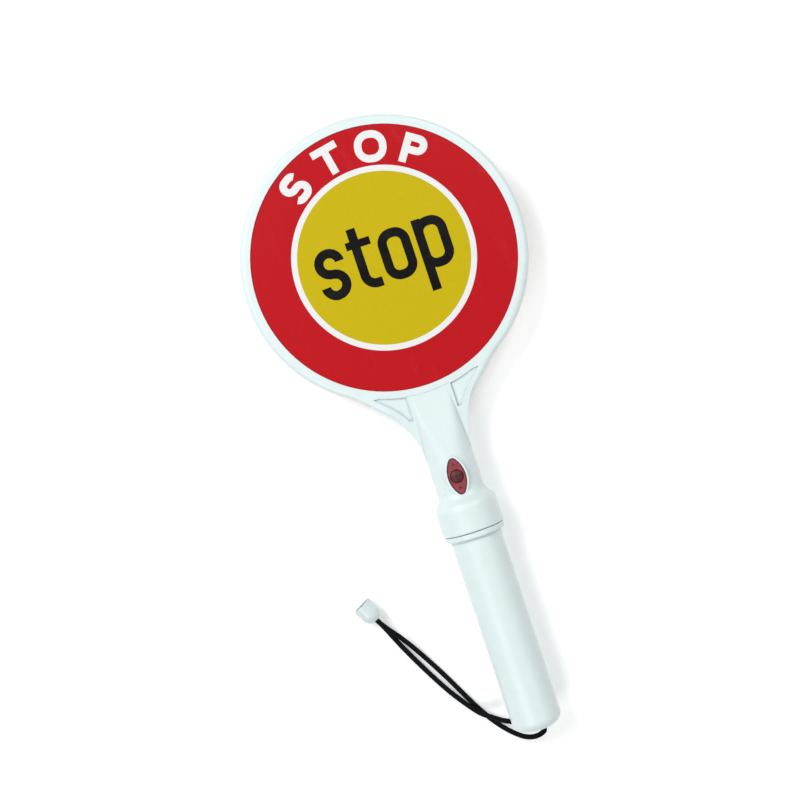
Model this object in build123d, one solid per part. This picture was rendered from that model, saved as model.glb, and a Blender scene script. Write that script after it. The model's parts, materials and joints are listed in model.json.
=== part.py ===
from build123d import *
import math
import os

# A hand-held stop / slow paddle, lying on its back. Everything is in millimetres.
# The model is drawn with the centre of the round head at the origin, the paddle's axis
# along Y with the handle towards -Y, and Z out of the STOP face. save() then moves it to
# the row frame, where the paddle lies on Z = 0 with the middle of its length at Y = 0.

# ---- driving dimensions: head ----
head_r = 109.8              # outer edge of the round head
head_half = 13.0            # half the head's thickness
edge_round = 4.5            # rounding of the head's outer edges
face_r = 101.3              # recess that holds a sign panel
panel_t = 2.0               # acrylic sign panel
lip_h = 0.8                 # the shell's lip stands this proud of the panel
window_r = 93.5             # open middle of each shell, behind its panel
wall = 2.6                  # moulded wall thickness
cavity_half = 8.0           # half height of the space inside the head
print_t = 0.2               # thickness of a printed film layer

# ---- driving dimensions: neck ----
neck_r = 18.25             # straight neck, as round as a tube beside the collar
flare_r = 58.5              # arc that widens the neck towards the head
flare_turn = 45.8           # degrees that the arc turns through
flare_y = -156.1            # where the straight neck ends and the flare starts
flare_blend_r = 53.0        # blend between the flare and the round head
plateau_half = 16.8         # flat raised middle of the neck, beside the head
pocket_depth = 4.0          # at the tip; the floor rises towards the face
pocket_rise = 6.0           # slope of that floor, in degrees
lip_line_r = 106.2          # fine groove where the face lip meets the plateau
pocket_band = 6.2           # width of the rim left outside each pocket
pocket_lip_r = 106.8        # pockets start just outside the face lip
pocket_tip_y = -124.0
web_level_y = -104.0        # the head keeps its full thickness down to here
web_thin_y = -138.0         # here it is down to 0.72 of it
web_end_y = -172.0          # and here it is a thin web inside the neck
neck_stations = (           # half width, half height, corner and place of the neck's sections
    (plateau_half, head_half, 4.2, -99.0),
    (17.4, 14.0, 6.5, -124.0),
    (neck_r, 17.4, 16.2, flare_y),
)

# ---- driving dimensions: switch ----
switch_y = -173.7
eye_len = 28.5
eye_wide = 14.1
eye_tip_r = 3.5
eye_rim = 1.6               # white rim moulded around the switch plate
eye_top = 19.0              # top of the rim round the switch plate
plate_sink = 2.0            # the switch plate lies this far below the rim
gasket_wide = 1.1
button_r = 4.9
button_travel = 1.2
plate_t = 1.4               # red switch plate
rim_shelf_z = 15.6          # the rim is hollow up to here, under the switch plate
gap = 0.35                  # clearance between pieces that move past each other

# ---- driving dimensions: collar and handle ----
collar_r = 24.25
shoulder_y = -185.0
collar_y = -199.5
collar_end_y = -216.8
socket_r = 22.0             # bore of the collar, which holds the threaded socket
bulkhead_y = -197.5
shoulder_bore_y = -189.9    # the neck's bore starts to widen into the collar here
bead_r = 23.4
bead_y = -217.3
bead_len = 4.6
grip_y = -223.2
grip_top_r = 19.9
grip_end_r = 19.55
end_y = -376.0
end_round = 8.0
thread_crest_r = 20.4
thread_root_r = 19.7
thread_pitch = 3.0
plug_top_y = -201.5
bore_r = 16.9
bore_end_y = -357.0
groove_count = 18
groove_first_y = -240.7
groove_pitch = 6.92
groove_wide = 2.8
groove_depth = 0.6
battery_r = 16.6
battery_can = 59.5
battery_nub = 1.5
battery_top_y = -211.5

# ---- driving dimensions: wrist strap ----
cord_d = 4.0
slot_high = 5.6
slot_deep = 15.5
pin_r = 1.5
pin_y = -374.1
bell_r = 8.1
bell_len = 16.5
bell_wall = 1.4

# ---- graphics ----
ring_r = 70.3
centre_r = 65.8
arc_word_r = 84.8
arc_step = 22.5
arc_high = 23.0
arc_over = 1.3              # round letters reach this much further than flat ones
arc_pen = 5.7
arc_wide = {"S": 18.5, "T": 21.0, "O": 24.6, "P": 18.5, "L": 17.0, "W": 30.0}
word_high = 39.6
word_pen = 7.0
word_space = 4.2
word_wide = {"s": 23.0, "t": 19.0, "o": 25.0, "p": 25.0, "l": 7.0, "w": 42.0}

# ---- inside the head ----
seat_z = head_half - lip_h - panel_t
board_t = 1.6
board_outer_r = 101.5
board_inner_r = 80.0
lamp_r = 87.0
lamp_count = 24
boss_r = 3.6
screw_head_r = 2.8
screw_recess_r = 3.1
screw_slack = 0.2           # clearance holes are this much larger than the screw
neck_boss_top = 14.0
neck_head_z = 11.0          # seats of the neck screws' heads
screw_r = 1.5
screw_ring_r = 97.5
screw_count = 6
neck_screw_x = (-10.0, 10.0)
neck_screw_y = -140.0
switch_board_z = 3.2
board_post_y = (-159.5, -188.0)
board_screw_r = 0.9
board_hang_z = 11.0         # holes in the board posts end here
chip_x = 6.2
chip_y = -166.8
plunger_top_z = 9.3
flange_z = 15.5
spring_wire_r = 0.35
feed_x = (-5.0, 5.0)
feed_z = 1.0
rib_y = -200.6
rib_len = 2.4
rib_h = 0.9
bulkhead_t = 2.5
socket_end_y = -213.0
seal_seat_y = -213.0
seal_seat_r = 22.5
o_ring_y = -215.2
o_ring_r = 1.2
pin_half = 8.0
bell_hole_high = 4.3
bell_hole_wide = 2.25

# ---- row frame ----
row_y = -end_y / 2 - head_r / 2     # moves the middle of the paddle's length to Y = 0
row_z = collar_r                    # the collar's underside touches the floor

over = Rot(0, 180, 0)               # turns a piece over, about the paddle's axis

os.makedirs("parts", exist_ok=True)


def save(name, shape, in_row=False):
    """Writes one node, moved from the drawing frame to the row frame."""
    pieces = shape if isinstance(shape, list) else [shape]
    solids = [s for piece in pieces for s in piece.solids()]
    if not in_row:
        solids = [Pos(0, row_y, row_z) * s for s in solids]
    whole = solids[0] if len(solids) == 1 else Compound(children=solids)
    whole.label = name
    export_step(whole, f"parts/{name}.step")


def along_y(y, r, length):
    """A cylinder on the paddle's axis, from y towards the handle's end."""
    return Pos(0, y, 0) * Rot(90, 0, 0) * Cylinder(r, length, align=(Align.CENTER, Align.CENTER, Align.MIN))


def ring_y(y, outer_r, inner_r, length):
    return along_y(y, outer_r, length) - along_y(y, inner_r, length)


def post(x, y, z_low, z_high, r):
    """A cylinder that stands along Z."""
    height = z_high - z_low
    return Pos(x, y, z_low) * Cylinder(r, height, align=(Align.CENTER, Align.CENTER, Align.MIN))


def block(x, y, z_low, z_high, size_x, size_y):
    height = z_high - z_low
    return Pos(x, y, z_low) * Box(size_x, size_y, height, align=(Align.CENTER, Align.CENTER, Align.MIN))


def slab(face, z_low, z_high):
    return Pos(0, 0, z_low) * extrude(face, z_high - z_low)


def spun(points_or_edges):
    """Revolves a closed outline of (radius, y) about the paddle's axis."""
    if isinstance(points_or_edges, list):
        outline = Polyline(*points_or_edges, close=True)
    else:
        outline = points_or_edges
    return revolve(make_face(outline), Axis.Y, 360)


# ---------------------------------------------------------------- housing shells

def head_plan():
    """The head seen from the front: a disc that flares into the neck."""
    turn = math.radians(flare_turn)
    centre_x = neck_r + flare_r
    flare_end = (centre_x - flare_r * math.cos(turn), flare_y + flare_r * math.sin(turn))
    run = 40.0
    inside = (flare_end[0] + run * math.sin(turn), flare_end[1] + run * math.cos(turn))
    with BuildSketch() as plan:
        Circle(head_r)
        for side in (1, -1):
            with BuildLine():
                start = (side * neck_r, flare_y)
                end = (side * flare_end[0], flare_end[1])
                TangentArc(start, end, tangent=(0, 1))
                Line(end, (side * inside[0], inside[1]))
                Polyline((side * inside[0], inside[1]), (0, inside[1]), (0, flare_y), start)
            make_face()
        corners = plan.vertices().filter_by(lambda v: abs(Vector(v).length - head_r) < 0.01)
        corners = corners.filter_by(lambda v: 40 < abs(v.X) < 70)
        fillet(corners, flare_blend_r)
    return plan.sketch


def neck_section(half_x, half_z, corner, y, base):
    """The upper half of one cross-section of the neck: a box whose corners grow into a circle."""
    plane = Plane(origin=(0, y, 0), x_dir=(1, 0, 0), z_dir=(0, -1, 0))
    with BuildLine() as line:
        Line((half_x - corner, half_z), (corner - half_x, half_z))
        JernArc((corner - half_x, half_z), (-1, 0), corner, 90)
        Polyline((-half_x, half_z - corner), (-half_x, base), (half_x, base), (half_x, half_z - corner))
        JernArc((half_x, half_z - corner), (0, 1), corner, 90)
    return plane * make_face(line.line)


def neck_core(inset, base):
    """The upper half of the neck's middle, from the head's flat plateau to the round collar."""
    sections = [
        neck_section(half_x - inset, half_z - inset, corner - inset, y, base)
        for half_x, half_z, corner, y in neck_stations
    ]
    round_r = neck_r - inset
    sections.append(neck_section(round_r, round_r, round_r - 0.3, shoulder_y, base))
    return loft(sections)


def thin_towards_neck(inset):
    """A solid as wide as the head whose thickness falls away along the flare."""
    half, past = head_half - inset, head_r + 5
    thin, end = half * 0.72, half * 0.2
    with BuildSketch(Plane.YZ) as side:
        with BuildLine():
            Polyline((web_level_y, half), (past, half), (past, -half), (web_level_y, -half))
            Spline((web_level_y, half), (web_thin_y, thin), (web_end_y, end), tangents=[(-1, 0), (-1, -0.3)])
            Line((web_end_y, end), (web_end_y, -end))
            Spline((web_end_y, -end), (web_thin_y, -thin), (web_level_y, -half), tangents=[(1, -0.3), (1, 0)])
        make_face()
    return extrude(side.sketch, head_r + 5, both=True)


def collar_outside():
    """The collar, with an S-shaped shoulder that grows out of the neck."""
    mid = ((neck_r + collar_r) / 2, (shoulder_y + collar_y) / 2)
    with BuildLine() as line:
        Line((0, shoulder_y), (neck_r, shoulder_y))
        first = TangentArc((neck_r, shoulder_y), mid, tangent=(0, -1))
        TangentArc(mid, (collar_r, collar_y), tangent=first % 1)
        Line((collar_r, collar_y), (collar_r, collar_end_y + 0.8))
        Line((collar_r, collar_end_y + 0.8), (collar_r - 0.6, collar_end_y))
        Polyline((collar_r - 0.6, collar_end_y), (0, collar_end_y), (0, shoulder_y))
    return spun(line.line)


def pocket_face(plan):
    """The two three-cornered pockets beside the plateau."""
    band_inside = offset(plan, -pocket_band, kind=Kind.INTERSECTION)
    window = Pos(0, -112.0) * Rectangle(2 * 60.0, 2 * abs(pocket_tip_y + 112.0))
    middle = Pos(0, -112.0) * Rectangle(2 * (plateau_half + 0.6), 60.0)
    return [f for f in (band_inside & window - middle - Circle(pocket_lip_r)).faces() if f.area > 20]


def eye(grow=0.0):
    """The switch plate's outline: two arcs that meet in rounded tips."""
    half_len, half_wide = eye_len / 2, eye_wide / 2
    tip_y = half_len - eye_tip_r
    arc_r = (half_wide ** 2 + tip_y ** 2 - eye_tip_r ** 2) / (2 * (half_wide - eye_tip_r))
    sharp = (Pos(arc_r - half_wide, 0) * Circle(arc_r)) & (Pos(half_wide - arc_r, 0) * Circle(arc_r))
    outline = fillet(sharp.vertices(), eye_tip_r)
    if grow:
        outline = offset(outline, grow)
    return Pos(0, switch_y) * outline


def ring_points(r, count):
    angles = [math.radians(360 * i / count) for i in range(count)]
    return [(r * math.cos(a), r * math.sin(a)) for a in angles]


def shell_outside(plan):
    """The upper half of the head's outer shape, with its pockets and the seat for a panel."""
    web = slab(plan, 0, head_half)
    web = fillet(web.edges().filter_by(lambda e: abs(e.center().Z - head_half) < 1e-3), edge_round)
    web = web & thin_towards_neck(0)
    upper = block(0, -200, 0, 40, 100, 60)
    outside = web + neck_core(0, 0.0) + (collar_outside() & upper)
    floor = Pos(0, pocket_tip_y, head_half - pocket_depth) * Rot(pocket_rise, 0, 0)
    above = floor * Box(200, 200, 50, align=(Align.CENTER, Align.CENTER, Align.MIN))
    for face in pocket_face(plan):
        outside = outside - (slab(face, head_half - pocket_depth, head_half + 5) & above)
    line = post(0, 0, head_half - 0.4, head_half + 1, lip_line_r + 0.7)
    line = line - post(0, 0, 0, head_half + 2, lip_line_r)
    outside = outside - (line & block(0, -lip_line_r, 0, head_half + 2, 2 * plateau_half, 20))
    return outside - post(0, 0, seat_z, head_half + 5, face_r)


def shell_hollows(plan):
    """The spaces inside one shell, each reaching a little past the middle plane."""
    low = -1.0
    web = slab(offset(plan, -wall, kind=Kind.INTERSECTION), low, cavity_half) & thin_towards_neck(wall)
    for face in pocket_face(plan):
        web = web - slab(offset(face, wall), head_half - pocket_depth - wall, head_half + 5)
    bore = neck_r - wall
    widest = socket_r - 1.5
    shoulder = spun([(0, shoulder_bore_y), (bore, shoulder_bore_y), (widest, bulkhead_y), (0, bulkhead_y)])
    return [
        web,
        post(0, 0, low, head_half + 1, window_r),
        neck_core(wall, low),
        along_y(shoulder_y + 2.0, bore, 7.0),
        shoulder,
        along_y(bulkhead_y, socket_r, 40.0),
        along_y(rib_y, socket_r + rib_h, rib_len),
        along_y(seal_seat_y, seal_seat_r, 10.0),
    ]


def half_shell(plan):
    shell = shell_outside(plan)
    for hollow in shell_hollows(plan):
        shell = shell - hollow
    parting = offset(plan, -0.45, kind=Kind.INTERSECTION)
    groove = slab(plan - parting, 0, 0.35) & block(0, 0, -1, 1, 300, 2 * 150.0)
    shell = shell - groove
    return max(shell.solids(), key=lambda piece: piece.volume)


def front_shell(shell):
    """Adds the switch's rim, the board posts and the screw bosses that take the thread."""
    for x, y in ring_points(screw_ring_r, screw_count):
        boss = post(x, y, board_t / 2, cavity_half + 1.0, boss_r)
        shell = shell + (boss - post(x, y, 0, cavity_half, screw_r))
    keep_inside = neck_core(wall / 2, 0.0)
    for x in neck_screw_x:
        shell = shell + (post(x, neck_screw_y, 0, neck_boss_top, boss_r - 0.4) & keep_inside)
    for x in neck_screw_x:
        shell = shell - post(x, neck_screw_y, -1, 9.0, screw_r)
    for y in board_post_y:
        shell = shell + post(0, y, switch_board_z + board_t, 16.0, 3.0)
        shell = shell - post(0, y, 0, board_hang_z, board_screw_r)
    rim = slab(eye(eye_rim), 12.0, eye_top)
    rim = fillet(rim.edges().filter_by(lambda e: abs(e.center().Z - eye_top) < 1e-3), 0.7)
    rim = rim - slab(eye(eye_rim), 0, rim_shelf_z - 0.7) - slab(eye(eye_rim - 0.6), 0, rim_shelf_z)
    shell = shell + rim
    shell = shell - slab(eye(-0.7), 0, eye_top + 1)
    return shell - slab(eye(0), eye_top - plate_sink - 0.15, eye_top + 1)


def rear_shell(shell):
    """The same shell turned over, with clearance holes and recesses for the screw heads."""
    for x, y in ring_points(screw_ring_r, screw_count):
        boss = post(x, y, board_t / 2, cavity_half + 1.0, boss_r)
        shell = shell + boss
        shell = shell - post(x, y, 0, head_half, screw_r + screw_slack)
        shell = shell - post(x, y, seat_z - 2.2, head_half, screw_recess_r)
    keep_inside = neck_core(wall / 2, 0.0)
    for x in neck_screw_x:
        shell = shell + (post(x, neck_screw_y, 0, neck_boss_top, boss_r + 0.6) & keep_inside)
    for x in neck_screw_x:
        shell = shell - post(x, neck_screw_y, -1, 2 * neck_r, screw_r + screw_slack)
        shell = shell - post(x, neck_screw_y, neck_head_z, 2 * neck_r, screw_recess_r)
    return over * shell


# ---------------------------------------------------------------- sign panels and lettering

def film(face, layer):
    low = seat_z + panel_t + layer * print_t
    return slab(Sketch() + face, low, low + print_t)


def letter_s(wide, high, pen, hook=62.0):
    x, y = (wide - pen) / 2, (high - pen) / 2
    r = min(y / 2, x)
    lean = math.radians(hook)
    with BuildLine() as path:
        tip = (x - r + r * math.sin(lean), y - r + r * math.cos(lean))
        JernArc(tip, (-math.cos(lean), math.sin(lean)), r, hook)
        if x - r > 0.05:
            Line((x - r, y), (r - x, y))
        JernArc((r - x, y), (-1, 0), r, 180)
        if x - r > 0.05:
            Line((r - x, 0), (x - r, 0))
        JernArc((x - r, 0), (1, 0), r, -180)
        if x - r > 0.05:
            Line((x - r, -y), (r - x, -y))
        JernArc((r - x, -y), (-1, 0), r, -hook)
    return trace(path.line, line_width=pen)


def letter_o(wide, high, pen):
    corner = 0.92 * wide / 2
    inner = RectangleRounded(wide - 2 * pen, high - 2 * pen, max(corner - pen, 0.4))
    return RectangleRounded(wide, high, corner) - inner


def letter_p(wide, high, pen):
    x, y = (wide - pen) / 2, (high - pen) / 2
    bowl_r = 0.33 * high - pen / 2
    with BuildLine() as path:
        Line((-x, y), (x - bowl_r, y))
        JernArc((x - bowl_r, y), (1, 0), bowl_r, -180)
        Line((x - bowl_r, y - 2 * bowl_r), (-x, y - 2 * bowl_r))
    return Pos(-x, 0) * Rectangle(pen, high) + trace(path.line, line_width=pen)


def letter_t(wide, high, pen):
    return Pos(0, (high - pen) / 2) * Rectangle(wide, pen) + Rectangle(pen, high)


def letter_l(wide, high, pen):
    return Pos((pen - wide) / 2, 0) * Rectangle(pen, high) + Pos(0, (pen - high) / 2) * Rectangle(wide, pen)


def letter_w(wide, high, pen):
    """Four slanted bars with level ends."""
    x, y, half = (wide - pen) / 2, high / 2, pen / 2
    tops = [(-x, y), (-x / 2, -y), (0, y), (x / 2, -y), (x, y)]
    shape = Sketch()
    for (x1, y1), (x2, y2) in zip(tops, tops[1:]):
        outline = Polyline((x1 - half, y1), (x1 + half, y1), (x2 + half, y2), (x2 - half, y2), close=True)
        shape = shape + make_face(outline)
    return shape


def small_s(wide, high, pen):
    return letter_s(wide, high, pen, hook=88.0)


def small_p(wide, high, pen):
    return letter_o(wide, high, pen) + Pos((pen - wide) / 2, -0.2 * high) * Rectangle(pen, 1.4 * high)


def small_t(wide, high, pen):
    x, r = (wide - pen) / 2, 0.42 * wide
    stem_x, foot_y = -0.12 * wide, (pen - high) / 2
    with BuildLine() as path:
        Line((stem_x, 0.72 * high), (stem_x, foot_y + r))
        JernArc((stem_x, foot_y + r), (0, -1), r, 90)
        Line((stem_x + r, foot_y), (x + pen / 2, foot_y))
    return trace(path.line, line_width=pen) + Pos(0, (high - pen) / 2) * Rectangle(wide, 0.85 * pen)


def small_l(wide, high, pen):
    return Pos(0, 0.2 * high) * Rectangle(pen, 1.4 * high)


CAPITALS = {"S": letter_s, "T": letter_t, "O": letter_o, "P": letter_p, "L": letter_l, "W": letter_w}
SMALL = {"s": small_s, "t": small_t, "o": letter_o, "p": small_p, "l": small_l, "w": letter_w}


def arc_word(word):
    """Capitals spread along the top of the face, each upright on its own radius."""
    placed = []
    for i, char in enumerate(word):
        turn = arc_step * ((len(word) - 1) / 2 - i)
        high = arc_high + (arc_over if char in "SO" else 0)
        shape = CAPITALS[char](arc_wide[char], high, arc_pen)
        placed.append(Rot(0, 0, turn) * Pos(0, arc_word_r) * shape)
    return placed


def centre_word(word):
    total = sum(word_wide[char] for char in word) + word_space * (len(word) - 1)
    placed, x = [], -total / 2
    for char in word:
        wide = word_wide[char]
        placed.append(Pos(x + wide / 2, 0) * SMALL[char](wide, word_high, word_pen))
        x += wide + word_space
    return placed


def sign_face(word):
    """A panel and its printed layers: ring, centre disc, curved word and centre word."""
    return {
        "sign_panel": [slab(Sketch() + Circle(face_r - 0.1), seat_z, seat_z + panel_t)],
        "centre_ring": [film(Circle(ring_r) - Circle(centre_r), 0)],
        "centre_disc": [film(Circle(centre_r), 0)],
        "arc_letters": [film(face, 0) for face in arc_word(word)],
        "centre_word": [film(face, 1) for face in centre_word(word.lower())],
    }


# ---------------------------------------------------------------- lamps, switch and wiring

def lamp_board():
    board = slab(Circle(board_outer_r) - Circle(board_inner_r), -board_t / 2, board_t / 2)
    for x, y in ring_points(screw_ring_r, screw_count):
        board = board - post(x, y, -board_t, board_t, screw_r + screw_slack)
    return board


def lamp_row():
    """Square lamp packages, each with a domed lens, on one side of the ring board."""
    lamps = []
    for i in range(lamp_count):
        spot = Rot(0, 0, 360 * (i + 0.5) / lamp_count) * Pos(0, -lamp_r)
        base = block(0, 0, board_t / 2, board_t / 2 + 1.4, 5.0, 5.0)
        dome = post(0, 0, board_t / 2 + 1.4, board_t / 2 + 1.9, 1.8)
        lamps.append(spot * (base + dome))
    return lamps


def shell_screws():
    screws = []
    for x, y in ring_points(screw_ring_r, screw_count):
        shaft = post(x, y, seat_z - 2.0 - 16.0, seat_z - 2.0, screw_r)
        head = post(x, y, seat_z - 2.0, seat_z - 0.1, screw_head_r)
        screws.append(over * (shaft + head - slot_cross(x, y, seat_z - 0.1)))
    for x in neck_screw_x:
        shaft = post(x, neck_screw_y, -8.5, neck_head_z, screw_r)
        head = post(x, neck_screw_y, neck_head_z, neck_head_z + 2.0, screw_head_r)
        screws.append(over * (shaft + head - slot_cross(x, neck_screw_y, neck_head_z + 2.0)))
    return screws


def slot_cross(x, y, z_top):
    """The cross-shaped recess in a screw's head."""
    return block(x, y, z_top - 1.0, z_top + 1, 3.2, 0.8) + block(x, y, z_top - 1.0, z_top + 1, 0.8, 3.2)


def switch_board():
    low = switch_board_z
    board = block(0, (board_post_y[0] + board_post_y[1]) / 2, low, low + board_t, 19.0, 33.0)
    for y in board_post_y:
        board = board - post(0, y, low - 1, low + 3, board_screw_r + 0.15)
    return board


def board_screws():
    screws = []
    for y in board_post_y:
        shaft = post(0, y, switch_board_z, 10.8, board_screw_r)
        head = post(0, y, switch_board_z - 1.3, switch_board_z, 2.1)
        screws.append(shaft + head - block(0, y, switch_board_z - 2, switch_board_z - 0.7, 2.6, 0.6))
    return screws


def push_switch():
    top = switch_board_z + board_t
    body = block(0, switch_y, top, top + 3.5, 6.0, 6.0)
    body = fillet(body.edges().filter_by(Axis.Z), 0.6)
    return body + post(0, switch_y, top + 3.5, plunger_top_z, 1.7)


def driver_chip():
    """The small flasher circuit, with four legs a side."""
    top = switch_board_z + board_t
    chip = block(chip_x, chip_y, top + 0.2, top + 1.7, 3.9, 4.9)
    legs = [
        block(chip_x + side * 2.35, chip_y + 1.27 * (i - 1.5), top, top + 0.9, 0.9, 0.42)
        for side in (1, -1)
        for i in range(4)
    ]
    for leg in legs:
        chip = chip + leg
    return chip


def button_cap():
    """A domed cap on a stem, with a flange that stays under the switch plate."""
    skirt_z = eye_top - 0.35
    dome_h = 1.5
    dome_r = (button_r ** 2 + dome_h ** 2) / (2 * dome_h)
    dome = Pos(0, switch_y, skirt_z + dome_h - dome_r) * Sphere(dome_r)
    cap = dome & post(0, switch_y, skirt_z, skirt_z + dome_h + 1, button_r)
    cap = cap + post(0, switch_y, flange_z + 1.0, skirt_z, button_r)
    cap = cap + post(0, switch_y, flange_z, flange_z + 1.0, button_r + 0.95)
    return cap + post(0, switch_y, plunger_top_z + button_travel + 0.1, flange_z, 2.0)


def button_spring():
    low = switch_board_z + board_t + spring_wire_r
    high = flange_z - spring_wire_r
    return coil(Pos(0, switch_y, low), high - low, 5.0, 5.0, spring_wire_r, 4)


def coil(place, height, r_low, r_high, wire_r, turns):
    """A round-wire spring along Z of its place; the wire is swept span by span."""
    steps = 10 * turns
    points = []
    for i in range(steps + 1):
        t = i / steps
        r = r_low + (r_high - r_low) * t
        a = 2 * math.pi * turns * t
        points.append((r * math.cos(a), r * math.sin(a), height * t))
    path = Spline(*points)
    profile = Plane(origin=path @ 0, z_dir=path % 0) * Circle(wire_r)
    return place * sweep(profile, path=path)


def switch_plate():
    low = eye_top - plate_sink
    plate = slab(eye(-gasket_wide), low, low + plate_t)
    plate = plate - post(0, switch_y, 0, 40, button_r + gap)
    gasket = slab(eye(-0.02) - eye(-gasket_wide), low, low + plate_t + 0.1)
    return plate, gasket


def plate_marks():
    """Raised arrow above the button and a raised dot below it, in place of symbols."""
    z = eye_top - plate_sink + plate_t
    up = Pos(0, switch_y + 9.0) * RegularPolygon(1.25, 3, rotation=90)
    dot = Pos(0, switch_y - 9.0) * Circle(0.85)
    return [slab(up, z, z + 0.2), slab(dot, z, z + 0.2)]


def inner_wire(points, wire_r=0.7, bend_r=6.0):
    """A wire fixed at both ends inside the housing, straight runs joined by arcs."""
    path = FilletPolyline(*points, radius=bend_r)
    return sweep(Plane(origin=path @ 0, z_dir=path % 0) * Circle(wire_r), path=path)


# ---------------------------------------------------------------- collar fittings

def threaded_socket():
    """The cup clamped inside the collar: a bulkhead above, and the handle's socket below."""
    cup = along_y(bulkhead_y, socket_r, bulkhead_y - socket_end_y)
    cup = cup + along_y(rib_y, socket_r + rib_h, rib_len)
    cup = cup - along_y(bulkhead_y - bulkhead_t, thread_crest_r + 0.4, 40.0)
    cup = cup - along_y(bulkhead_y + 1, 1.6, 10.0)
    for x in feed_x:
        cup = cup - Pos(x, 0, feed_z) * along_y(bulkhead_y + 1, 0.8, 10.0)
    return cup


def positive_rivet():
    low = bulkhead_y - bulkhead_t
    return along_y(bulkhead_y + 0.6, 2.6, 0.6) + along_y(bulkhead_y, 1.6, bulkhead_t) + along_y(low, 6.0, 0.8)


def o_ring():
    return Pos(0, o_ring_y, 0) * Rot(90, 0, 0) * Torus(thread_root_r + 0.05 + o_ring_r, o_ring_r)


# ---------------------------------------------------------------- handle

def handle_tube():
    """Threaded plug, bead and ribbed grip in one moulding, with a strap slot in its end."""
    foot = grip_end_r
    with BuildLine() as line:
        Polyline((0, plug_top_y), (thread_root_r, plug_top_y), (thread_root_r, bead_y))
        Line((thread_root_r, bead_y), (bead_r - 0.9, bead_y))
        JernArc((bead_r - 0.9, bead_y), (1, 0), 0.9, -90)
        Line((bead_r, bead_y - 0.9), (bead_r, bead_y - bead_len + 1.6))
        JernArc((bead_r, bead_y - bead_len + 1.6), (0, -1), 1.6, -90)
        Line((bead_r - 1.6, bead_y - bead_len), (grip_top_r + 0.9, bead_y - bead_len))
        JernArc((grip_top_r + 0.9, bead_y - bead_len), (-1, 0), 0.9, 90)
        Line((grip_top_r, bead_y - bead_len - 0.9), (foot, end_y + end_round))
        RadiusArc((foot, end_y + end_round), (foot - end_round, end_y), end_round)
        Polyline((foot - end_round, end_y), (0, end_y), (0, plug_top_y))
    tube = spun(line.line)
    arc_r = (groove_wide ** 2 / 4 + groove_depth ** 2) / (2 * groove_depth)
    for i in range(groove_count):
        y = groove_first_y - i * groove_pitch
        part_way = (y - grip_y) / (end_y - grip_y)
        r = grip_top_r + (grip_end_r - grip_top_r) * part_way
        tube = tube - Pos(0, y, 0) * Rot(90, 0, 0) * Torus(r + arc_r - groove_depth, arc_r)
    for i in range(3):
        tube = tube + spun(thread_ridge(plug_top_y - 2.6 - i * thread_pitch))
    tube = tube - along_y(plug_top_y + 1, bore_r, plug_top_y + 1 - bore_end_y)
    tube = tube - strip_channel()
    slot = Pos(0, end_y + slot_deep / 2 - 5, 0) * Box(60, slot_deep + 10, slot_high)
    tube = tube - slot
    return tube - post(0, pin_y, -pin_half, pin_half, pin_r)


def thread_ridge(y):
    """One turn of the coarse thread, in section: a flat-topped ridge."""
    root, crest = thread_root_r - 0.3, thread_crest_r
    return [(root, y + 0.95), (crest, y + 0.4), (crest, y - 0.4), (root, y - 0.95)]


def strip_channel():
    length = plug_top_y + 1 - (bore_end_y + 1.0)
    return Pos(0, plug_top_y + 1 - length / 2, bore_r) * Box(7.0, length, 1.3)


def negative_strip():
    """Brass strip along the bore, bent into a tab under the spring."""
    top = plug_top_y
    length = top - (bore_end_y + 1.5)
    return Pos(0, top - length / 2, bore_r + 0.35) * Box(6.0, length, 0.4)


def battery(top_y):
    """One D-size cell with its raised cap at the top."""
    can = along_y(top_y - battery_nub, battery_r, battery_can)
    can = fillet(can.edges().filter_by(GeomType.CIRCLE), 1.0)
    return can + along_y(top_y, 4.75, battery_nub + 0.5)


def strap_bell():
    """Bell-shaped cord end: open at its mouth, with one slot for both cords in its dome."""
    shoulder, end_r = 0.47 * bell_len, 0.4 * bell_r
    with BuildLine() as line:
        Polyline((end_r, bell_len), (0, bell_len), (0, 0), (bell_r, 0))
        Line((bell_r, 0), (bell_r - 0.1, shoulder))
        ThreePointArc((bell_r - 0.1, shoulder), (bell_r * 0.83, bell_len * 0.80), (end_r, bell_len))
    outer = revolve(make_face(Plane.XZ * line.line), Axis.Z, 360)
    hollow = Cylinder(bell_r - bell_wall, bell_len * 0.58, align=(Align.CENTER, Align.CENTER, Align.MIN))
    throat = extrude(Rot(0, 0, 90) * SlotOverall(2 * bell_hole_high, 2 * bell_hole_wide), 2 * bell_len)
    return bell_place * (outer - hollow - throat)


def cord(points, tight_corners, tight_r):
    """A cord's tube: straight runs joined by arcs as large as the runs allow.

    The first corners go round the strap pin, so their arcs are the pin's size.
    """
    radii = []
    for before, corner, after in zip(points, points[1:], points[2:]):
        run_in, run_out = Vector(corner) - Vector(before), Vector(after) - Vector(corner)
        turn = math.radians(run_in.get_angle(run_out))
        radii.append(0.45 * min(run_in.length, run_out.length) / math.tan(turn / 2))
    radii[:tight_corners] = [tight_r] * tight_corners
    print("cord radii:", [round(r, 1) for r in radii])
    path = FilletPolyline(*points, radius=radii)
    print("cord length:", round(path.length, 1))
    return sweep(Plane(origin=path @ 0, z_dir=path % 0) * Circle(cord_d / 2), path=path)


# ---------------------------------------------------------------- assembly

plan = head_plan()
blank = half_shell(plan)
save("front_shell", front_shell(blank))
save("rear_shell", rear_shell(blank))

for side, word, turn in (("front", "STOP", Rot(0, 0, 0)), ("rear", "SLOW", over)):
    for piece, shapes in sign_face(word).items():
        save(f"{side}_{piece}", [turn * each for each in shapes])
    save(f"{side}_lamps", [turn * lamp for lamp in lamp_row()])

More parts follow.
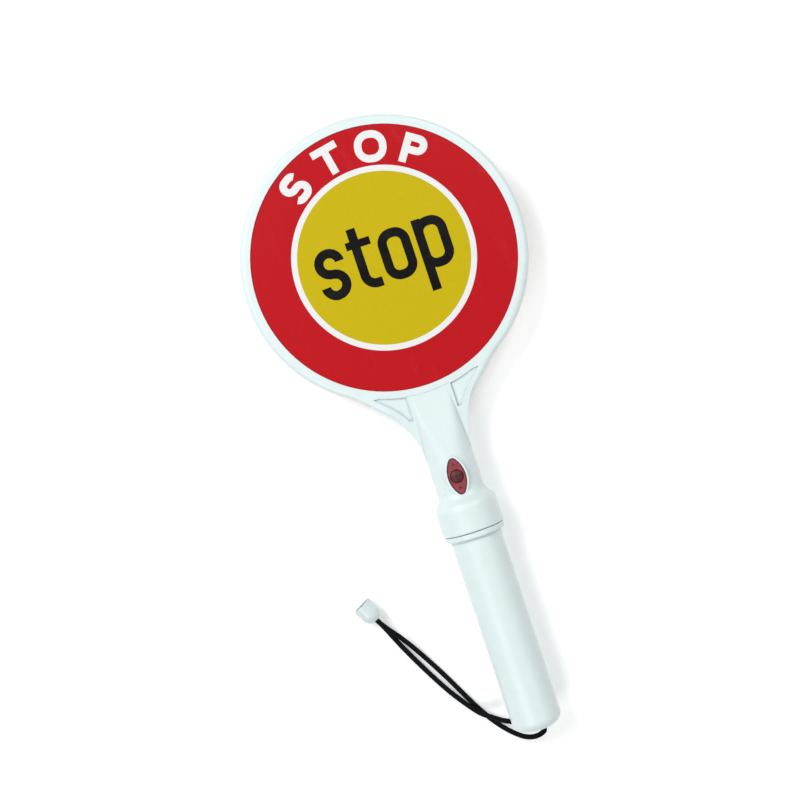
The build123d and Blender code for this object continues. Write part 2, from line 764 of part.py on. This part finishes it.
save("lamp_ring_board", lamp_board())
save("shell_screws", shell_screws())
save("switch_board", switch_board())
save("board_screws", board_screws())
save("push_switch", push_switch())
save("driver_chip", driver_chip())
save("button_cap", button_cap())
save("button_spring", button_spring())
plate, gasket = switch_plate()
save("switch_plate", plate)
save("switch_gasket", gasket)
save("switch_plate_marks", plate_marks())

for name, x in (("red", 4.0), ("black", -4.0)):
    lamp_end = (x, -97.0, -board_t / 2 - 0.7)
    board_end = (x, -166, switch_board_z - 0.7)
    save(f"lamp_wire_{name}", inner_wire([lamp_end, (x, -118, -3.5), (x, -146, -1.5), board_end]))
for name, x in (("red", feed_x[1]), ("black", feed_x[0])):
    start = (x, -179.0, switch_board_z - 0.7)
    end = (x, bulkhead_y - bulkhead_t, feed_z)
    save(f"feed_wire_{name}", inner_wire([start, (x, -186.0, feed_z), end], bend_r=8.0))

save("threaded_socket", threaded_socket())
save("positive_rivet", positive_rivet())
spring_low = bulkhead_y - bulkhead_t - 0.8
spring_place = Pos(0, spring_low, 0) * Rot(90, 0, 0)
spring_length = spring_low - battery_top_y - gap
save("positive_spring", coil(spring_place * Pos(0, 0, 0.5), spring_length - 1.0, 4.6, 2.6, 0.5, 4))
save("head_contact_ring", ring_y(bulkhead_y - bulkhead_t, 20.3, 17.5, 0.6))
save("o_ring", o_ring())

save("handle_tube", handle_tube())
save("handle_contact_ring", ring_y(plug_top_y + 0.5, 19.4, bore_r + 0.2, 0.5))
save("negative_strip", negative_strip())
second_top = battery_top_y - battery_can - battery_nub
save("battery_upper", battery(battery_top_y))
save("battery_lower", battery(second_top))
foot_y = second_top - battery_can - battery_nub
save("negative_plate", along_y(bore_end_y + 0.6, 15.0, 0.6))
tail_length = foot_y - bore_end_y - 0.6
save("battery_spring", coil(Pos(0, foot_y - 0.8, 0) * Rot(90, 0, 0), tail_length - 1.6, 7.0, 13.0, 0.8, 5))
save("strap_pin", post(0, pin_y, -pin_half, pin_half, pin_r))


# ---- wrist strap, in the row frame ----
# One cord, doubled round the pin in the handle's slot: each strand is a node of its own.
# Both strands run over the floor into the bell, where a knot holds them.
pin_row_y = pin_y + row_y
turn_r = 3.75
turn_side = turn_r * math.tan(math.radians(22.5))
turn_start = (turn_r, pin_row_y, row_z)
loop_out = 4.5              # the loop hangs this far out of the slot
bell_mouth = Vector(-101.5, -115.6, bell_r)
bell_axis = Vector(0.464, -0.885, -0.0123).normalized()
bell_side = Vector(0, 0, 1).cross(bell_axis).normalized()
bell_up = bell_axis.cross(bell_side)
bell_place = Plane(origin=bell_mouth, x_dir=bell_side, z_dir=bell_axis).location
knot_back = 9.0
throat_far = 21.5


def in_bell(side):
    """The last two points of a strand, one cord above the other: outside the dome, and at the knot."""
    apart = bell_up * side * (cord_d / 2 + 0.02)
    return [tuple(bell_mouth + bell_axis * reach + apart) for reach in (throat_far, knot_back)]


outer_strand = [
    turn_start,
    (turn_r, pin_row_y - loop_out - turn_side, row_z),
    (turn_side, pin_row_y - loop_out - turn_r, row_z),
    (-4.8, -251.0, 22.8),
    (-12.2, -251.0, 16.6),
    (-19.9, -247.2, 9.6),
    (-27.0, -241.2, 4.4),
    (-33.6, -233.2, 2.2),
    (-40.6, -221.8, 2.0),
    (-47.6, -208.4, 2.0),
    (-55.6, -192.4, 2.0),
    (-66.6, -172.6, 2.0),
    (-79.0, -151.0, 6.6),
] + in_bell(1)

inner_strand = [
    turn_start,
    (turn_r, pin_row_y + turn_side, row_z),
    (turn_side, pin_row_y + turn_r, row_z),
    (-5.5, -237.5, row_z),
    (-14.2, -235.5, row_z),
    (-21.8, -232.9, 23.4),
    (-28.0, -231.0, 17.0),
    (-33.2, -229.3, 9.8),
    (-40.4, -224.9, 7.2),
    (-48.8, -215.4, 2.8),
    (-58.2, -202.2, 2.0),
    (-69.6, -182.0, 2.0),
    (-81.6, -158.8, 2.0),
] + in_bell(-1)

save("strap_outer_strand", cord(outer_strand, 2, 0.93 * turn_r), in_row=True)
save("strap_inner_strand", cord(inner_strand, 2, 0.93 * turn_r), in_row=True)
knot = Cylinder(5.3, knot_back - 1.5, align=(Align.CENTER, Align.CENTER, Align.MIN))
knot = fillet(knot.edges().filter_by(lambda e: abs(e.center().Z) < 1e-3), 2.4)
save("strap_knot", bell_place * Pos(0, 0, 1.5) * knot, in_row=True)
save("strap_bell", strap_bell(), in_row=True)
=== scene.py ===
import json
import math

import bmesh
import bpy
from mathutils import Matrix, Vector


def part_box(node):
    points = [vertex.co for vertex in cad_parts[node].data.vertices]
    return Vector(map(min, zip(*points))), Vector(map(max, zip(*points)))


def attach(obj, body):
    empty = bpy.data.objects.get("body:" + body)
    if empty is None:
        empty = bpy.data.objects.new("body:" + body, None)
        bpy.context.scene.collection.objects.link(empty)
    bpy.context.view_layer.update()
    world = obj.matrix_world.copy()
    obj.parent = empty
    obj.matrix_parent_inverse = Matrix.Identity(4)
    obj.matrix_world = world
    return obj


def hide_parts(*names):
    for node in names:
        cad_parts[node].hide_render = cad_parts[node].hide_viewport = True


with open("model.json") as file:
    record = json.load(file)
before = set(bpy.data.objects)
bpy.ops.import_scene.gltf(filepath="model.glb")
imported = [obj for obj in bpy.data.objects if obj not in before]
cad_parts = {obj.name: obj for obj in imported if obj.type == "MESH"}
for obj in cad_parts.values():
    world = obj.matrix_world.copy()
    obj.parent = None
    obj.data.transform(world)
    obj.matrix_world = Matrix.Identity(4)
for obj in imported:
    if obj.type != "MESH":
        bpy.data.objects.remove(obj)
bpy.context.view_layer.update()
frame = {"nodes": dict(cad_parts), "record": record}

nodes = frame["nodes"]
MM = 0.001

# ---------------------------------------------------------------- places, from the frame

handle_low, handle_high = [Vector(corner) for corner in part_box("handle_tube")]
axis_z = (handle_low.z + handle_high.z) / 2
pin_low, pin_high = [Vector(corner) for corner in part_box("strap_pin")]
pin_y = (pin_low.y + pin_high.y) / 2

# ---------------------------------------------------------------- camera

camera_height = 0.874        # metres above the handle's axis
camera_over = (-0.0225, 0.0272)
camera_roll = -18.36         # degrees; the paddle's head leans to the left in the picture
view_slope = 20 / 57         # half the view's width over its distance


def make_camera():
    data = bpy.data.cameras.new("camera")
    data.angle = 2 * math.atan(view_slope)
    camera = bpy.data.objects.new("camera", data)
    bpy.context.scene.collection.objects.link(camera)
    camera.location = (*camera_over, axis_z + camera_height)
    camera.rotation_euler = (0, 0, math.radians(camera_roll))
    bpy.context.scene.camera = camera


make_camera()

# ---------------------------------------------------------------- material helpers


class Shader:
    """A node tree with short ways to add the nodes that every material here uses."""

    def __init__(self, name):
        self.material = bpy.data.materials.new(name)
        self.material.use_nodes = True
        self.tree = self.material.node_tree
        self.bsdf = self.tree.nodes["Principled BSDF"]
        self.place = self.tree.nodes.new("ShaderNodeTexCoord").outputs["Object"]

    def set(self, **values):
        for name, value in values.items():
            self.bsdf.inputs[name.replace("_", " ")].default_value = value
        return self

    def node(self, kind, inputs=None, **settings):
        made = self.tree.nodes.new("ShaderNode" + kind)
        for name, value in settings.items():
            setattr(made, name, value)
        for name, value in (inputs or {}).items():
            if hasattr(value, "is_output"):
                self.tree.links.new(value, made.inputs[name])
            else:
                made.inputs[name].default_value = value
        return made

    def stretched(self, scale):
        return self.node("Mapping", {"Vector": self.place, "Scale": scale}).outputs[0]

    def noise(self, scale, detail=4.0, roughness=0.55, vector=None):
        values = {"Vector": vector or self.place, "Scale": scale, "Detail": detail, "Roughness": roughness}
        return self.node("TexNoise", values).outputs["Fac"]

    def cells(self, scale, feature="F1", output="Distance", randomness=1.0, vector=None):
        values = {"Vector": vector or self.place, "Scale": scale, "Randomness": randomness}
        return self.node("TexVoronoi", values, feature=feature).outputs[output]

    def ramp(self, value, low, high, out_low=0.0, out_high=1.0):
        values = {"Value": value, "From Min": low, "From Max": high, "To Min": out_low, "To Max": out_high}
        return self.node("MapRange", values).outputs[0]

    def maths(self, operation, a, b=0.0):
        return self.node("Math", {0: a, 1: b}, operation=operation).outputs[0]

    def mix(self, fac, colour_a, colour_b):
        """The colour mix node; its RGBA sockets have the numbers 6 and 7, and its result 2."""
        return self.node("Mix", {0: fac, 6: colour_a, 7: colour_b}, data_type="RGBA").outputs[2]

    def link(self, output, name):
        self.tree.links.new(output, self.bsdf.inputs[name])

    def bump(self, *layers):
        """Each layer is (height, distance in metres, strength); they stack into one normal."""
        normal = None
        for height, distance, strength in layers:
            values = {"Height": height, "Distance": distance, "Strength": strength}
            if normal:
                values["Normal"] = normal
            normal = self.node("Bump", values).outputs[0]
        self.link(normal, "Normal")

    def worn_edge(self, width=0.0012, sharp=0.12):
        """Bright where the surface turns a corner: the bevelled normal leaves the true one."""
        bevel = self.node("Bevel", {"Radius": width}, samples=4).outputs[0]
        plain = self.node("NewGeometry").outputs["Normal"]
        dot = self.node("VectorMath", {0: bevel, 1: plain}, operation="DOT_PRODUCT").outputs["Value"]
        return self.ramp(dot, 1.0 - sharp, 1.0, 1.0, 0.0)

    def occlusion_shade_mask(self, distance=0.004):
        """Bright where surfaces close in on each other, where shade falls: the mask for painted shade."""
        hidden = self.node("AmbientOcclusion", {"Distance": distance}, samples=6).outputs["AO"]
        return self.ramp(hidden, 0.35, 0.95, 1.0, 0.0)


def rgba(r, g, b):
    return (r, g, b, 1.0)


def scaled(colour, factor):
    return rgba(*[channel * factor for channel in colour[:3]])


def tinted(colour, red, green, blue):
    return rgba(colour[0] * red, colour[1] * green, colour[2] * blue)


def dusted(colour, keep, dust):
    return rgba(*[channel * keep + dust for channel in colour[:3]])


# ---------------------------------------------------------------- materials


def moulded_plastic(name, colour, roughness=0.36, grain=0.35, painted_shade_amount=0.22, mottling=0.25):
    """Satin moulded plastic: fine spark texture, flow mottling, handling marks, and painted shade
    darkening corners and crevices.
    """
    s = Shader(name).set(IOR=1.49, Coat_Weight=0.08, Coat_Roughness=0.25)
    mottle = s.noise(26.0, 3.0)
    aged = s.mix(s.ramp(mottle, 0.35, 0.75, 0.0, mottling), colour, scaled(colour, 0.94))
    smudge = s.ramp(s.noise(70.0, 5.0, 0.62), 0.52, 0.74)
    handled = s.mix(s.maths("MULTIPLY", smudge, 0.16), aged, tinted(colour, 0.80, 0.82, 0.80))
    # Painted shade: the base colour goes darker where surfaces close in, following the occlusion mask.
    painted_crevice_shade = s.maths("MULTIPLY", s.occlusion_shade_mask(0.0035), painted_shade_amount)
    s.link(s.mix(painted_crevice_shade, handled, tinted(colour, 0.60, 0.62, 0.62)), "Base Color")
    scratch = s.noise(220.0, 2.0, 0.5, s.stretched((1.0, 0.06, 1.0)))
    fine = s.ramp(scratch, 0.60, 0.70)
    uneven = s.ramp(mottle, 0.3, 0.7, roughness - 0.05, roughness + 0.07)
    scratched = s.maths("ADD", uneven, s.maths("MULTIPLY", fine, 0.12))
    polished = s.maths("SUBTRACT", scratched, s.maths("MULTIPLY", s.worn_edge(), 0.12))
    s.link(polished, "Roughness")
    s.bump(
        (s.noise(2600.0, 2.0), 0.00006, grain),
        (s.noise(160.0, 2.0), 0.00012, 0.12),
        (scratch, 0.00003, 0.15),
    )
    return s.material


def reflective_film(name, colour):
    """Retroreflective sheet: a honeycomb of tiny sealed cells under a clear glossy face."""
    s = Shader(name).set(IOR=1.42)
    cell_scale, unevenness = 520.0, 0.28
    walls = s.cells(cell_scale, "DISTANCE_TO_EDGE", "Distance", unevenness)
    line = s.ramp(walls, 0.02, 0.09, 1.0, 0.0)
    tint = s.cells(cell_scale, "F1", "Color", unevenness)
    sparkle = s.ramp(s.node("SeparateColor", {"Color": tint}).outputs[0], 0.0, 1.0, 0.0, 0.22)
    base = s.mix(sparkle, scaled(colour, 0.96), scaled(colour, 1.10))
    veined = s.mix(s.maths("MULTIPLY", line, 0.16), base, scaled(colour, 0.72))
    cloud = s.ramp(s.noise(14.0, 3.0), 0.35, 0.7, 0.0, 0.12)
    s.link(s.mix(cloud, veined, scaled(colour, 0.86)), "Base Color")
    scuff = s.ramp(s.noise(90.0, 6.0, 0.7, s.stretched((1.0, 0.25, 1.0))), 0.56, 0.72)
    s.link(s.ramp(scuff, 0.0, 1.0, 0.20, 0.32), "Roughness")
    s.bump((line, 0.00005, 0.25), (s.noise(40.0, 2.0), 0.0002, 0.06))
    return s.material


def print_ink(name, colour, roughness=0.42):
    """Screen-printed ink: even colour, a faint mesh in its surface and small worn specks."""
    s = Shader(name).set(IOR=1.35)
    cloud = s.ramp(s.noise(30.0, 3.0), 0.35, 0.7, 0.0, 0.14)
    base = s.mix(cloud, colour, scaled(colour, 0.88))
    specks = s.ramp(s.noise(900.0, 1.0), 0.74, 0.80, 0.0, 0.25)
    s.link(s.mix(specks, base, dusted(colour, 0.6, 0.16)), "Base Color")
    threads = {"Vector": s.place, "Scale": 900.0}
    mesh_x = s.node("TexWave", threads, bands_direction="X").outputs["Fac"]
    mesh_y = s.node("TexWave", threads, bands_direction="Y").outputs["Fac"]
    s.link(s.ramp(s.noise(60.0, 4.0), 0.3, 0.7, roughness - 0.06, roughness + 0.08), "Roughness")
    s.bump((s.maths("MULTIPLY", mesh_x, mesh_y), 0.00002, 0.3))
    return s.material


def clear_plastic(name, colour, transmission, roughness=0.2, coat=0.6):
    """Tinted translucent moulding, cloudier inside than at its polished face."""
    s = Shader(name).set(IOR=1.49, Transmission_Weight=transmission)
    s.set(Coat_Weight=coat, Coat_Roughness=0.15)
    cloud = s.ramp(s.noise(240.0, 4.0), 0.35, 0.7)
    s.link(s.mix(cloud, colour, scaled(colour, 0.72)), "Base Color")
    s.link(s.ramp(s.noise(500.0, 3.0), 0.3, 0.7, roughness - 0.06, roughness + 0.10), "Roughness")
    s.bump((s.noise(1500.0, 2.0), 0.00003, 0.3))
    return s.material


def metal(name, colour, roughness=0.3):
    """Drawn or turned metal with tool lines and a little tarnish."""
    s = Shader(name).set(Metallic=1.0)
    lines = s.noise(420.0, 3.0, 0.6, s.stretched((1.0, 1.0, 18.0)))
    spots = s.ramp(s.noise(150.0, 5.0, 0.65), 0.50, 0.75, 0.0, 0.3)
    s.link(s.mix(spots, colour, scaled(colour, 0.45)), "Base Color")
    worked = s.ramp(lines, 0.3, 0.7, roughness - 0.06, roughness + 0.10)
    s.link(s.maths("ADD", worked, s.maths("MULTIPLY", spots, 0.3)), "Roughness")
    s.bump((lines, 0.00003, 0.35))
    return s.material


def rubber(name, colour, roughness=0.62):
    """Dull soft or dark plastic with dust in patches."""
    s = Shader(name).set(IOR=1.5)
    dust = s.ramp(s.noise(380.0, 5.0, 0.7), 0.5, 0.72, 0.0, 0.22)
    s.link(s.mix(dust, colour, dusted(colour, 0.7, 0.06)), "Base Color")
    s.link(s.ramp(s.noise(120.0, 3.0), 0.3, 0.7, roughness - 0.10, roughness + 0.12), "Roughness")
    s.bump((s.noise(1800.0, 3.0), 0.00006, 0.4))
    return s.material


def circuit_board(name):
    """Green solder mask with copper tracks showing through as raised lines."""
    s = Shader(name).set(IOR=1.5, Coat_Weight=0.4, Coat_Roughness=0.2)
    tracks = s.ramp(s.cells(170.0, "DISTANCE_TO_EDGE", "Distance", 0.85), 0.03, 0.10, 1.0, 0.0)
    green = rgba(0.012, 0.13, 0.045)
    s.link(s.mix(tracks, green, rgba(0.04, 0.26, 0.09)), "Base Color")
    s.link(s.ramp(s.noise(300.0, 3.0), 0.3, 0.7, 0.28, 0.45), "Roughness")
    s.bump((tracks, 0.00004, 0.5))
    return s.material


def cell_sleeve(name):
    """Shrink sleeve of a dry cell: dark body with a copper-coloured band, and no lettering."""
    s = Shader(name).set(IOR=1.5, Coat_Weight=0.5, Coat_Roughness=0.15)
    along = s.node("SeparateXYZ", {0: s.place}).outputs["Y"]
    band = None
    for cell in ("battery_upper", "battery_lower"):
        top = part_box(cell)[1][1]
        above = s.maths("GREATER_THAN", along, top - 0.021)
        below = s.maths("LESS_THAN", along, top - 0.0035)
        inside = s.maths("MULTIPLY", above, below)
        band = inside if band is None else s.maths("MAXIMUM", band, inside)
    wrap = s.mix(band, rgba(0.025, 0.03, 0.045), rgba(0.55, 0.26, 0.09))
    scuff = s.ramp(s.noise(160.0, 5.0, 0.65), 0.55, 0.72, 0.0, 0.3)
    s.link(s.mix(scuff, wrap, rgba(0.2, 0.2, 0.2)), "Base Color")
    s.link(s.ramp(s.noise(220.0, 4.0), 0.3, 0.7, 0.22, 0.4), "Roughness")
    s.bump((s.noise(90.0, 2.0), 0.0001, 0.15))
    return s.material


def braided_cord(name):
    """Black braided yarn: the weave is in the mesh, and this adds fibres and a soft sheen."""
    s = Shader(name).set(IOR=1.3, Specular_IOR_Level=0.2)
    fibre = s.noise(5200.0, 3.0, 0.6)
    fade = s.ramp(s.noise(90.0, 4.0), 0.4, 0.75, 0.0, 0.35)
    base = s.mix(s.ramp(fibre, 0.35, 0.7), rgba(0.0012, 0.0014, 0.002), rgba(0.006, 0.007, 0.009))
    s.link(s.mix(fade, base, rgba(0.009, 0.010, 0.013)), "Base Color")
    s.link(s.ramp(fibre, 0.3, 0.7, 0.62, 0.85), "Roughness")
    s.bump((fibre, 0.00008, 0.6))
    return s.material


white = rgba(0.665, 0.762, 0.765)
materials = {
    "housing": moulded_plastic("housing_white", white),
    # The grip gets stronger painted shade, darkening its ring grooves.
    "grip": moulded_plastic("grip_white", white, roughness=0.40, grain=0.5, painted_shade_amount=0.45),
    "sign_red": reflective_film("film_red", rgba(0.470, 0.004, 0.009)),
    "sign_amber": reflective_film("film_amber", rgba(0.86, 0.30, 0.012)),
    "print_white": print_ink("ink_white", rgba(0.72, 0.73, 0.73)),
    "print_yellow": reflective_film("film_yellow", rgba(0.53, 0.412, 0.002)),
    "print_black": print_ink("ink_black", rgba(0.0025, 0.0025, 0.003), 0.26),
    "board": circuit_board("circuit_board"),
    "lamp": clear_plastic("lamp_lens", rgba(0.85, 0.80, 0.55), 0.4, 0.15),
    "steel": metal("plated_steel", rgba(0.62, 0.62, 0.64)),
    "brass": metal("brass_strip", rgba(0.78, 0.56, 0.22), 0.26),
    "button_red": clear_plastic("button_dark_red", rgba(0.080, 0.001, 0.004), 0.0, 0.46, 0.0),
    "lens_red": clear_plastic("switch_plate_red", rgba(0.37, 0.060, 0.078), 0.15, 0.28, 0.3),
    "gasket": rubber("gasket_dark", rgba(0.075, 0.018, 0.024)),
    "mark": rubber("mark_dark", rgba(0.05, 0.004, 0.006), 0.4),
    "chip": rubber("chip_black", rgba(0.012, 0.012, 0.014), 0.5),
    "switch": rubber("switch_black", rgba(0.02, 0.02, 0.022), 0.45),
    "wire_red": rubber("wire_red", rgba(0.45, 0.012, 0.012), 0.42),
    "wire_black": rubber("wire_black", rgba(0.012, 0.012, 0.012), 0.42),
    "socket": moulded_plastic("socket_grey", rgba(0.35, 0.36, 0.37), 0.42),
    "seal": rubber("seal_silicone", rgba(0.42, 0.45, 0.45), 0.5),
    "battery": cell_sleeve("cell_sleeve"),
    "cord": braided_cord("cord_black"),
    "bell": moulded_plastic("bell_white", rgba(0.62, 0.70, 0.705), roughness=0.30, grain=0.2),
}

slot_of = {entry["node"]: entry["material_slot"] for entry in frame["record"]["subparts"]}
sharp_angle = math.radians(32)
for name, obj in nodes.items():
    obj.data.materials.clear()
    obj.data.materials.append(materials[slot_of[name]])
    obj.data.shade_smooth()
    obj.data.set_sharp_from_angle(angle=sharp_angle)


# ---------------------------------------------------------------- wrist strap

turn_r = 3.75 * MM
turn_side = turn_r * math.tan(math.radians(22.5))
turn_start = (turn_r, pin_y, axis_z)
loop_out = 4.5 * MM          # the loop hangs this far out of the slot
cord_d = 4.0 * MM
bell_mouth = Vector((-101.5, -115.6, 8.1)) * MM
bell_axis = Vector((0.464, -0.885, -0.0123)).normalized()
bell_side = Vector((0, 0, 1)).cross(bell_axis).normalized()
bell_up = bell_axis.cross(bell_side)
knot_back = 9.0 * MM
throat_far = 21.5 * MM


def in_mm(*points):
    return [tuple(value * MM for value in point) for point in points]


def in_bell(side):
    """The last two points of a strand, one cord above the other: outside the dome, and at the knot."""
    apart = bell_up * side * (cord_d / 2 + 0.02 * MM)
    return [tuple(bell_mouth + bell_axis * reach + apart) for reach in (throat_far, knot_back)]


outer_strand = [
    turn_start,
    (turn_r, pin_y - loop_out - turn_side, axis_z),
    (turn_side, pin_y - loop_out - turn_r, axis_z),
] + in_mm(
    (-4.8, -251.0, 22.8),
    (-12.2, -251.0, 16.6),
    (-19.9, -247.2, 9.6),
    (-27.0, -241.2, 4.4),
    (-33.6, -233.2, 2.2),
    (-40.6, -221.8, 2.0),
    (-47.6, -208.4, 2.0),
    (-55.6, -192.4, 2.0),
    (-66.6, -172.6, 2.0),
    (-79.0, -151.0, 6.6),
) + in_bell(1)

inner_strand = [
    turn_start,
    (turn_r, pin_y + turn_side, axis_z),
    (turn_side, pin_y + turn_r, axis_z),
] + in_mm(
    (-5.5, -237.5, 24.25),
    (-14.2, -235.5, 24.25),
    (-21.8, -232.9, 23.4),
    (-28.0, -231.0, 17.0),
    (-33.2, -229.3, 9.8),
    (-40.4, -224.9, 7.2),
    (-48.8, -215.4, 2.8),
    (-58.2, -202.2, 2.0),
    (-69.6, -182.0, 2.0),
    (-81.6, -158.8, 2.0),
) + in_bell(-1)


def smooth_line(name, route, resolution=24):
    """The points along one smooth curve whose control points are the route's."""
    curve = bpy.data.curves.new(name + "_line", "CURVE")
    curve.dimensions = "3D"
    curve.resolution_u = resolution
    spline = curve.splines.new("NURBS")
    spline.points.add(len(route) - 1)
    for point, place in zip(spline.points, route):
        point.co = (*place, 1.0)
    spline.order_u = 3
    spline.use_endpoint_u = True
    holder = bpy.data.objects.new(name + "_line", curve)
    bpy.context.scene.collection.objects.link(holder)
    bpy.context.view_layer.update()
    evaluated = holder.evaluated_get(bpy.context.evaluated_depsgraph_get())
    mesh = bpy.data.meshes.new_from_object(evaluated)
    line = [vertex.co.copy() for vertex in mesh.vertices]
    bpy.data.objects.remove(holder)
    bpy.data.meshes.remove(mesh)
    return line


def even_steps(line, step):
    """Points at even distances along a line."""
    total = sum((b - a).length for a, b in zip(line, line[1:]))
    count = max(2, round(total / step))
    places, walked, target, index = [line[0]], 0.0, total / count, 0
    while len(places) < count:
        a, b = line[index], line[index + 1]
        run = (b - a).length
        if walked + run >= target:
            t = (target - walked) / run if run else 0.0
            places.append(a.lerp(b, t))
            target += total / count
        else:
            walked += run
            index += 1
    places.append(line[-1])
    return places, total


def tube_frames(places):
    """A turning-free pair of side directions at each point of a line."""
    frames = []
    ahead = (places[1] - places[0]).normalized()
    side = ahead.cross(Vector((0, 0, 1)))
    side = side.normalized() if side.length > 0.1 else ahead.cross(Vector((1, 0, 0))).normalized()
    for i, place in enumerate(places):
        before, after = places[max(i - 1, 0)], places[min(i + 1, len(places) - 1)]
        ahead = (after - before).normalized()
        side = (side - ahead * side.dot(ahead)).normalized()
        frames.append((side, ahead.cross(side)))
    return frames


yarns = 8                    # carriers each way round the cord
braid_pitch = 2.0 * MM       # length of one crossing along the cord
braid_relief = 0.30 * MM


def braid_height(around, along):
    """How far the yarn on top stands out at a place on the braid, from 0 to 1."""
    a = yarns * around + along / braid_pitch
    b = yarns * around - along / braid_pitch
    over = (math.floor(a) + math.floor(b)) % 2 == 0
    across, length = (a % 1.0, b % 1.0) if over else (b % 1.0, a % 1.0)
    crown = math.sqrt(max(0.0, 1.0 - (2 * across - 1) ** 2))
    return crown * (0.70 + 0.30 * math.sin(math.pi * length))


def braided_tube(name, route, diameter, around=56, step=0.34 * MM):
    """A cord's mesh: yarns that pass over and under each other, along one smooth line."""
    places, total = even_steps(smooth_line(name, route), step)
    frames = tube_frames(places)
    mesh = bmesh.new()
    rings = []
    for i, (place, (side, up)) in enumerate(zip(places, frames)):
        along = i * total / (len(places) - 1)
        ring = []
        for k in range(around):
            turn = k / around
            r = diameter / 2 - braid_relief * (1.0 - braid_height(turn, along))
            direction = side * math.cos(2 * math.pi * turn) + up * math.sin(2 * math.pi * turn)
            ring.append(mesh.verts.new(place + direction * r))
        rings.append(ring)
    for first, second in zip(rings, rings[1:]):
        for k in range(around):
            j = (k + 1) % around
            mesh.faces.new((first[k], first[j], second[j], second[k]))
    mesh.faces.new(list(reversed(rings[0])))
    mesh.faces.new(rings[-1])
    data = bpy.data.meshes.new(name)
    bmesh.ops.recalc_face_normals(mesh, faces=mesh.faces)
    mesh.to_mesh(data)
    mesh.free()
    data.shade_smooth()
    piece = bpy.data.objects.new(name, data)
    bpy.context.scene.collection.objects.link(piece)
    data.materials.append(materials["cord"])
    return piece, places, total


def strap_knot():
    """The two cord ends tied in an overhand knot that fills the bell's mouth."""
    centre = bell_mouth + bell_axis * (4.9 * MM)
    half_width, half_length, pulled_tight_d = 0.95 * MM, 2.8 * MM, 3.6 * MM
    route = []
    turns = 28
    for i in range(turns + 1):
        t = 2 * math.pi * i / turns
        x = (math.sin(t) + 2 * math.sin(2 * t)) * half_width
        y = (math.cos(t) - 2 * math.cos(2 * t)) * half_width
        z = -math.sin(3 * t) * half_length
        route.append(tuple(centre + bell_side * x + bell_up * y + bell_axis * z))
    piece, _, _ = braided_tube("strap_knot_tied", route, pulled_tight_d, around=40, step=0.4 * MM)
    return piece


knot = strap_knot()
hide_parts("strap_knot")
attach(knot, "handle")

for label, route in (("outer", outer_strand), ("inner", inner_strand)):
    strand, places, total = braided_tube(f"strap_{label}_braid", route, cord_d)
    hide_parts(f"strap_{label}_strand")
    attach(strand, "handle")


# ---------------------------------------------------------------- floor and light


def make_floor():
    s = Shader("floor_white")
    s.set(Roughness=0.85, Emission_Color=rgba(1, 1, 1), Emission_Strength=0.16)
    cloud = s.ramp(s.noise(3.0, 2.0), 0.3, 0.7)
    s.link(s.mix(cloud, rgba(0.93, 0.93, 0.93), rgba(0.96, 0.96, 0.96)), "Base Color")
    bpy.ops.mesh.primitive_plane_add(size=12.0, location=(0, 0, -0.0004))
    floor = bpy.context.object
    floor.name = "floor"
    floor.data.materials.append(s.material)


def area_light(name, place, size, power):
    """A square light that faces the middle of the frame."""
    data = bpy.data.lights.new(name, "AREA")
    data.shape = "RECTANGLE"
    data.size, data.size_y = size, size
    data.energy = power
    light = bpy.data.objects.new(name, data)
    light.location = place
    light.rotation_euler = (-Vector(place)).to_track_quat("-Z", "Y").to_euler()
    bpy.context.scene.collection.objects.link(light)


def make_light():
    world = bpy.data.worlds.new("studio")
    bpy.context.scene.world = world
    world.use_nodes = True
    background = world.node_tree.nodes["Background"]
    background.inputs["Color"].default_value = rgba(1.0, 1.0, 1.0)
    background.inputs["Strength"].default_value = 0.25
    away, height, size = 0.95, 1.6, 0.9
    for name, x, y, power in (("a", -1, 1, 25), ("b", 1, 1, 13), ("c", -1, -1, 12), ("d", 1, -1, 6)):
        area_light(f"soft_{name}", (x * away, y * away, height), size, power)
    bpy.context.scene.view_settings.view_transform = "Standard"


make_floor()
make_light()
